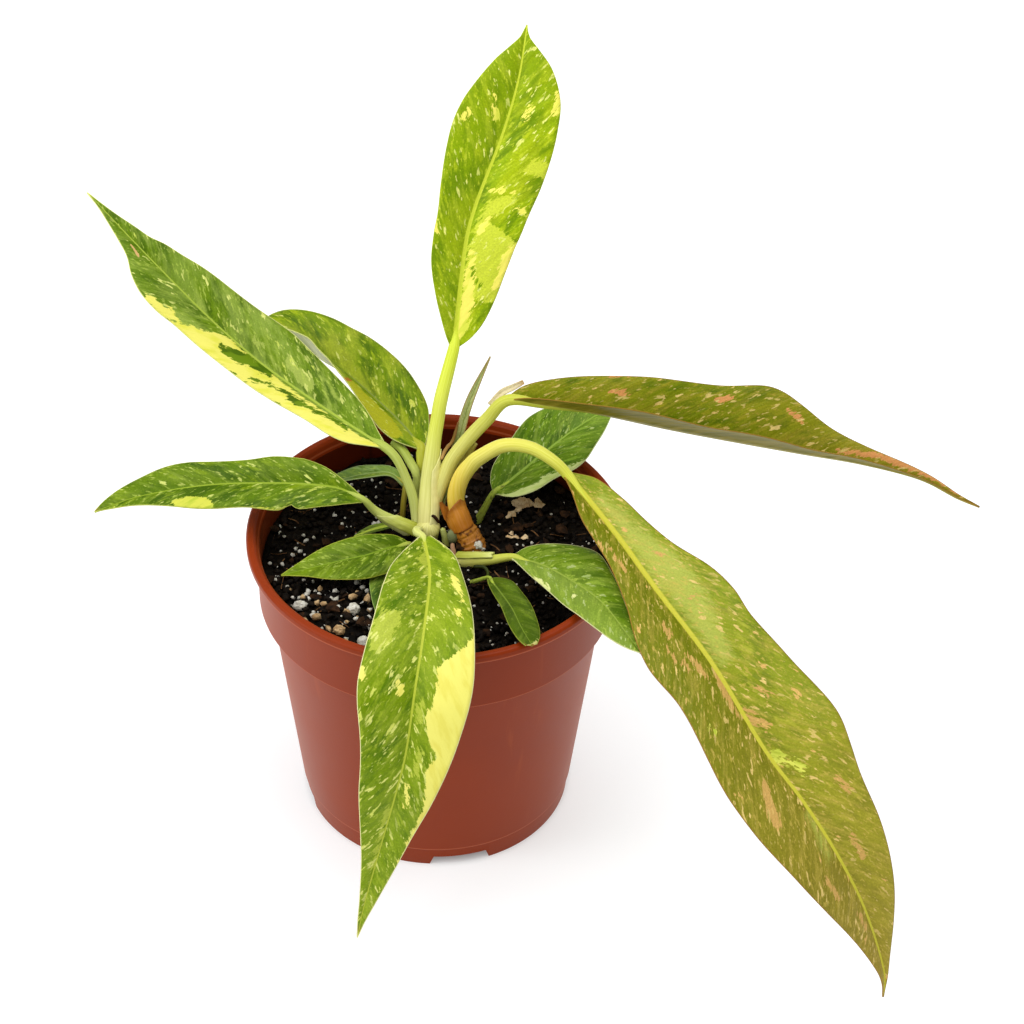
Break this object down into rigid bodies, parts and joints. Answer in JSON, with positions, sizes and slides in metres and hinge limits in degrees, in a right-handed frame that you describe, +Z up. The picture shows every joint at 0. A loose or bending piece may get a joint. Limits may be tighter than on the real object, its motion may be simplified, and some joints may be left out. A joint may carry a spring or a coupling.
{
  "type": "potted philodendron",
  "caption": "Variegated philodendron with long leaves, rooted in potting mix in a terracotta-coloured plastic nursery pot.",
  "frame": {"origin": "centre of the whole plant's bounding box, at the level of the surface that the pot stands on", "axes": "+Z up along the pot's axis; +X towards the side with the two longest leaves; -Y towards the side where one leaf hangs over the rim"},
  "size_m": [0.3569, 0.262, 0.2894],
  "materials": {
    "pot_plastic": "injection-moulded terracotta-coloured plastic, satin sheen, slight swirl",
    "potting_mix": "damp dark potting mix, crumbly and matt",
    "leaf_green": "waxy leaf, mid to dark green with pale speckles and cream sectors",
    "leaf_lime": "waxy young leaf, lime with a cream-yellow sector",
    "leaf_olive": "waxy leaf, olive with tan and salmon streaks",
    "leaf_bronze": "waxy leaf, yellow-green turning bronze at the tip",
    "petiole_green": "smooth fleshy stalk, fresh green",
    "petiole_pale_green": "smooth fleshy stalk, pale green to whitish",
    "petiole_yellow": "smooth fleshy stalk, yellow",
    "stem_brown": "old stem, orange-brown and fibrous",
    "sheath_papery": "dry papery sheath, orange-brown",
    "sheath_tan": "dry tan sheath",
    "sheath_grey_green": "grey-green sheath with a dry tan edge",
    "perlite": "white expanded perlite, matt",
    "bark": "tan bark chip, matt"
  },
  "bodies": {
    "root": {"pot": "pot_plastic", "soil": "potting_mix", "upright_leaf": "leaf_lime", "upper_left_leaf": "leaf_green", "upper_right_leaf": "leaf_olive", "big_right_leaf": "leaf_bronze", "front_leaf": "leaf_green", "lower_left_leaf": "leaf_green", "narrow_back_left_leaf": "leaf_green", "front_left_small_leaf": "leaf_green", "sliver_leaf": "leaf_green", "hidden_front_leaf": "leaf_green", "front_right_small_leaf": "leaf_green", "right_low_leaf": "leaf_green", "back_right_leaf": "leaf_green", "back_left_leaf": "leaf_green", "upright_petiole": "petiole_pale_green", "upper_right_petiole": "petiole_pale_green", "big_right_petiole": "petiole_yellow", "upper_left_petiole": "petiole_green", "lower_left_petiole": "petiole_green", "back_left_petiole": "petiole_green", "hidden_back_petiole": "petiole_green", "narrow_back_left_petiole": "petiole_green", "front_petiole": "petiole_green", "front_left_small_petiole": "petiole_green", "sliver_petiole": "petiole_green", "hidden_front_petiole": "petiole_green", "right_low_petiole": "petiole_green", "front_right_small_petiole": "petiole_green", "back_right_petiole": "petiole_green", "main_stem": "petiole_pale_green", "pale_stub": "petiole_pale_green", "grey_bud": "sheath_grey_green", "old_stem": "stem_brown", "old_stem_sheath": "sheath_papery", "root_stub": "stem_brown", "right_low_sheath": "petiole_pale_green", "spear_sheath": "sheath_grey_green", "upper_right_sheath": "sheath_tan", "yellow_sheath": "sheath_tan", "perlite_grain_left": "perlite", "perlite_grain_middle": "perlite", "perlite_grain_front": "perlite", "tan_grain_front": "bark", "bark_chip_back": "bark"}
  },
  "joints": []
}
